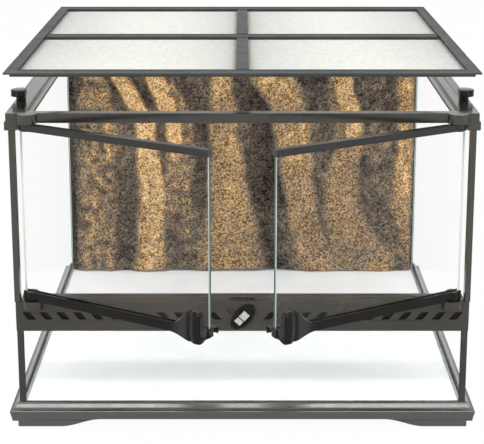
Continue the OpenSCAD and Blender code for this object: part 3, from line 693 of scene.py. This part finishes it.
def flared(along, out, rise, rail_height):
    """A point of the grip, from its three shares of a cube, on a door that points along X."""
    flare = eased_over(along, *flare_run)
    top = rail_height + (pull_height - rail_height) * flare * eased_over(out, *crest_run)
    sag = pull_sag * eased_over(out, *sag_run) * flare
    crease = crease_place + crease_bow * (2 * rise - 1) ** 2
    roll = eased((along - crease - roll_gap) / roll_fade) * eased((roll_end - along) / roll_fade)
    reach = pull_root + pull_reach * eased_over(along, *reach_run) + roll_rise * roll
    reach -= crease_depth * eased(1 - abs(along - crease) / crease_half)
    reach -= head_fall * eased_over(rise, *head_run)
    return Vector((door_length - pull_length + along * pull_length,
                   -rail_depth / 2 - out * reach, rise * (top + sag) - sag))


def grip(hinge, foot, rail_height):
    """The left door's finger grip: it flares up and forward, and ends in an upright roll."""
    bpy.ops.object.select_all(action="DESELECT")
    bpy.ops.mesh.primitive_cube_add(size=1)
    pull = bpy.context.object
    bpy.ops.object.mode_set(mode="EDIT")
    bpy.ops.mesh.subdivide(number_cuts=pull_cuts)
    bpy.ops.object.mode_set(mode="OBJECT")
    turn = Matrix.Rotation(-door_open, 4, "Z")
    for vertex in pull.data.vertices:
        x, y, z = vertex.co
        point = flared(x + 0.5, 0.5 - y, z + 0.5, rail_height)
        vertex.co = turn @ point + Vector((hinge.x, hinge.y, foot))
    bpy.ops.object.mode_set(mode="EDIT")
    bpy.ops.mesh.select_all(action="SELECT")
    bpy.ops.mesh.normals_make_consistent(inside=False)
    bpy.ops.object.mode_set(mode="OBJECT")
    rounded = pull.modifiers.new("rounded", "SUBSURF")
    rounded.levels = rounded.render_levels = 1
    bpy.ops.object.modifier_apply(modifier="rounded")
    bpy.ops.object.shade_smooth()
    return pull


def half_shaded_edge(name, at):
    """A ground edge whose rear half is darkened as painted shade: the halves part at a distance from
    the middle.
    """
    material, tree, shader = new_material(name)
    aside = worked_out(tree, "ABSOLUTE", own_axis(tree, "X"))
    front = range_on(tree, aside, 0, 1, at - 0.1 * mm, at + 0.1 * mm)
    pale = streaked(tree, paint(142, 156, 150), paint(176, 188, 182))
    dark = streaked(tree, paint(44, 58, 54), paint(70, 86, 80))
    # Painted shade: the rear half of the edge is dark, and the front half keeps the pale ground tone
    tree.links.new(mixed(tree, front, dark, pale), shader.inputs["Base Color"])
    shader.inputs["Roughness"].default_value = 0.3
    return material


door_glass = clear_glass("door_glass", bending=1.12)
rail_black = moulded_plastic("rail_plastic", paint(12, 12, 10), paint(20, 19, 16),
                             smooth=0.12, rough=0.2, grain_depth=0.05, mirror=0.55)
rail_plastic = {"top": rail_black, "bottom": gloss_black}
free_edge = half_shaded_edge("door_glass_edge", at=29.5 * mm)
hinge_side = 150 * mm    # the door panes' hinge edges lie beyond this, their free edges within it

pin_low, pin_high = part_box("left_hinge_pins")
rail_low, rail_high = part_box("left_bottom_rail")
left_grip = grip((pin_low + pin_high) / 2, rail_low.z, rail_high.z - rail_low.z)
left_grip.name = "left_grip"
right_grip = left_grip.copy()
right_grip.data = left_grip.data.copy()
right_grip.name = "right_grip"
bpy.context.scene.collection.objects.link(right_grip)
right_grip.data.transform(Matrix.Scale(-1, 4, across))
right_grip.data.flip_normals()

for side, way, pull in (("left", 1, left_grip), ("right", -1, right_grip)):
    body = f"{side}_door"
    door_normal = Vector((way * math.sin(door_open), math.cos(door_open), 0))
    pane(f"{side}_door_glass", f"{side}_door_pane", body, door_normal, door_glass, free_edge,
         polished_beyond=hinge_side)
    for rail, plastic in rail_plastic.items():
        channel = merged_copy(f"{side}_{rail}_rail", f"{side}_{rail}_channel")
        mount(soften(channel, radius=0.3 * mm),
              body, "frame_plastic", [plastic], f"{side}_{rail}_rail")
    mount(pull, body, "frame_plastic", [gloss_black], f"{side}_pull")
    pins = merged_copy(f"{side}_hinge_pins", f"{side}_pins")
    mount(soften(pins, radius=0.3 * mm),
          "tank", "bright_steel", [bright_steel], f"{side}_hinge_pins")

# ---------------------------------------------------------------------------------------
# Screen cover
# A flat frame of moulded plastic bars with recessed tops, a cross bar and two centre bars.
# Four panes of bright woven fly screen lie on its lips. It is shown lifted off, up and
# forward.
# ---------------------------------------------------------------------------------------
cover_black = moulded_plastic("cover_plastic", paint(36, 42, 40), paint(46, 53, 50),
                              smooth=0.5, rough=0.62, grain_depth=0.3)
cover_rim, cover_recess = 2 * mm, 0.9 * mm
cover_bars = {"cover_frame": "screen_surround", "cover_cross_bar": "screen_cross_bar",
              "front_centre_bar": "front_screen_bar", "rear_centre_bar": "rear_screen_bar"}
screen_pitch, screen_gauge = 1.5 * mm, 0.34 * mm
layer_share = 0.45    # how far each layer of wires lies from the middle, in wires
quarter_turn = math.pi / 2


def clear_selection(kind):
    """Deselects all of the active piece, and sets which kind of element is selected next."""
    bpy.ops.object.mode_set(mode="EDIT")
    bpy.ops.mesh.select_mode(type=kind)
    bpy.ops.mesh.select_all(action="DESELECT")
    bpy.ops.object.mode_set(mode="OBJECT")


def recess_top(bar, top):
    """Sinks the middle of a bar's flat top, and leaves a narrow rim round it."""
    clear_selection("FACE")
    for face in bar.data.polygons:
        face.select = face.normal.z > 0.9 and face.center.z > top - 0.01 * mm
    bpy.ops.object.mode_set(mode="EDIT")
    bpy.ops.mesh.inset(thickness=cover_rim, use_even_offset=True)
    bpy.ops.object.mode_set(mode="OBJECT")
    for vertex in bar.data.vertices:
        if vertex.select:
            vertex.co.z = top - cover_recess


for node, name in cover_bars.items():
    bar = merged_copy(node, name)
    recess_top(bar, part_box(node)[1].z)
    mount(soften(bar, radius=0.22 * mm), "cover", "frame_plastic", [cover_black], node)


def wire_layer(low, high, along, step, turn, height):
    """A row of round wires that run along one axis and are spaced along the other."""
    count = int((high[step] - low[step] - screen_gauge) / screen_pitch)
    start = (low + high) / 2
    start[step] -= (count - 1) * screen_pitch / 2
    start.z += height
    bpy.ops.object.select_all(action="DESELECT")
    bpy.ops.mesh.primitive_cylinder_add(vertices=6, radius=screen_gauge / 2,
                                        depth=high[along] - low[along],
                                        location=start, rotation=turn)
    wire = bpy.context.object
    bpy.ops.object.shade_smooth()
    bpy.ops.object.transform_apply(location=True, rotation=True, scale=True)
    rows = wire.modifiers.new("rows", "ARRAY")
    rows.count = count
    rows.use_relative_offset = False
    rows.use_constant_offset = True
    rows.constant_offset_displace = [screen_pitch if axis == step else 0 for axis in range(3)]
    bpy.ops.object.modifier_apply(modifier="rows")
    return wire


def woven_screen(name, low, high):
    """Two layers of wires that cross at right angles and fill a flat box."""
    half_wire = screen_gauge * layer_share
    warp = wire_layer(low, high, 0, 1, (0, quarter_turn, 0), half_wire)
    weft = wire_layer(low, high, 1, 0, (quarter_turn, 0, 0), -half_wire)
    select_only(warp)
    weft.select_set(True)
    bpy.ops.object.join()
    warp.name = name
    return warp


screen_wire = metal("bright_screen_wire", paint(206, 207, 201), paint(226, 226, 220),
                    smooth=0.5, rough=0.6, scale=300, metallic=0)
corners = ("front_left", "front_right", "rear_left", "rear_right")
for corner in corners:
    screen = woven_screen(f"{corner}_screen", *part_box(f"{corner}_mesh"))
    mount(screen, "cover", "fine_mesh", [screen_wire], f"{corner}_mesh")

# ---------------------------------------------------------------------------------------
# Cover locks
# Four moulded caps of gloss black plastic that turn on stems in the rim, each flat on the
# side that faces the cover. Turned half round, they hold the cover down.
# ---------------------------------------------------------------------------------------
cap_depth, cap_radius = 6.4 * mm, 0.9 * mm
cap_corner = math.radians(40)

for corner in corners:
    cap = merged_copy(f"{corner}_lock", f"{corner}_cap")
    cap_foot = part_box(f"{corner}_lock")[1].z - cap_depth
    clear_selection("EDGE")
    bpy.ops.object.mode_set(mode="EDIT")
    bpy.ops.mesh.edges_select_sharp(sharpness=cap_corner)
    bpy.ops.object.mode_set(mode="OBJECT")
    for edge in cap.data.edges:
        top = max(cap.data.vertices[index].co.z for index in edge.vertices)
        edge.select = edge.select and top > cap_foot + 0.1 * mm
    bpy.ops.object.mode_set(mode="EDIT")
    bpy.ops.mesh.bevel(offset=cap_radius, segments=3, clamp_overlap=False, miter_outer="ARC")
    bpy.ops.object.mode_set(mode="OBJECT")
    bpy.ops.object.shade_smooth_by_angle(angle=smooth_angle)
    mount(cap, f"{corner}_lock", "frame_plastic", [gloss_black], f"{corner}_lock")

# ---------------------------------------------------------------------------------------
# Floor, backdrop and light
# A plain pale floor in a white room, and five soft lamps: a long narrow one high in front,
# a broad one in front, one overhead, and an upright one on either side.
# ---------------------------------------------------------------------------------------
room_light = 0.85
glow_share = 0.95    # of the floor's look, and the rest is the light and shadow on it
lamp_aim = (0, 0, 0.18)


def seen_or_mirrored(tree):
    """One for rays that see or mirror the background, also through glass, or else zero."""
    path = tree.nodes.new("ShaderNodeLightPath")
    seen = path.outputs["Is Camera Ray"]
    for ray in ("Is Glossy Ray", "Is Transmission Ray"):
        seen = worked_out(tree, "MAXIMUM", seen, path.outputs[ray])
    return seen


def glowing_floor(name):
    """Matt pale paint that glows white where it is seen, and keeps a trace of its shadows."""
    material, tree, shader = new_material(name)
    shader.inputs["Base Color"].default_value = (0.94, 0.94, 0.94, 1)
    shader.inputs["Roughness"].default_value = 1
    shader.inputs["Specular IOR Level"].default_value = 0
    glow = tree.nodes.new("ShaderNodeEmission")
    mix = tree.nodes.new("ShaderNodeMixShader")
    seen = seen_or_mirrored(tree)
    tree.links.new(seen, glow.inputs["Strength"])
    tree.links.new(worked_out(tree, "MULTIPLY", seen, glow_share), mix.inputs["Fac"])
    tree.links.new(shader.outputs["BSDF"], mix.inputs[1])
    tree.links.new(glow.outputs["Emission"], mix.inputs[2])
    tree.links.new(mix.outputs["Shader"], tree.nodes["Material Output"].inputs["Surface"])
    return material


def soft_lamp(name, place, sides, power):
    """A rectangular lamp that points at the middle of the tank."""
    bpy.ops.object.light_add(type="AREA", location=place)
    lamp = bpy.context.object
    lamp.name = name
    lamp.data.shape = "RECTANGLE"
    lamp.data.size, lamp.data.size_y = sides
    lamp.data.energy = power
    aim = Vector(lamp_aim) - Vector(place)
    lamp.rotation_euler = aim.to_track_quat("-Z", "Y").to_euler()


bpy.ops.object.select_all(action="DESELECT")
bpy.ops.mesh.primitive_plane_add(size=60)
floor = bpy.context.object
floor.name = "floor"
floor.data.materials.append(glowing_floor("pale_floor"))

world = bpy.data.worlds.new("white_room")
bpy.context.scene.world = world
world.use_nodes = True
room = world.node_tree.nodes["Background"]
room.inputs["Color"].default_value = (1, 1, 1, 1)
brightness = range_on(world.node_tree, seen_or_mirrored(world.node_tree), room_light, 1, 0, 1)
world.node_tree.links.new(brightness, room.inputs["Strength"])

soft_lamp("strip_lamp", (0, -1.8, 2.05), sides=(2.6, 0.3), power=19)
soft_lamp("front_lamp", (0.4, -2.6, 1.5), sides=(3.2, 2.2), power=9)
soft_lamp("top_lamp", (0, -0.3, 2.2), sides=(2.4, 1.2), power=12)
for side, way in (("left", -1), ("right", 1)):
    soft_lamp(f"{side}_side_lamp", (way * 1.6, -1.5, 0.6), sides=(0.3, 1.4), power=7)

bpy.context.scene.view_settings.view_transform = "Standard"
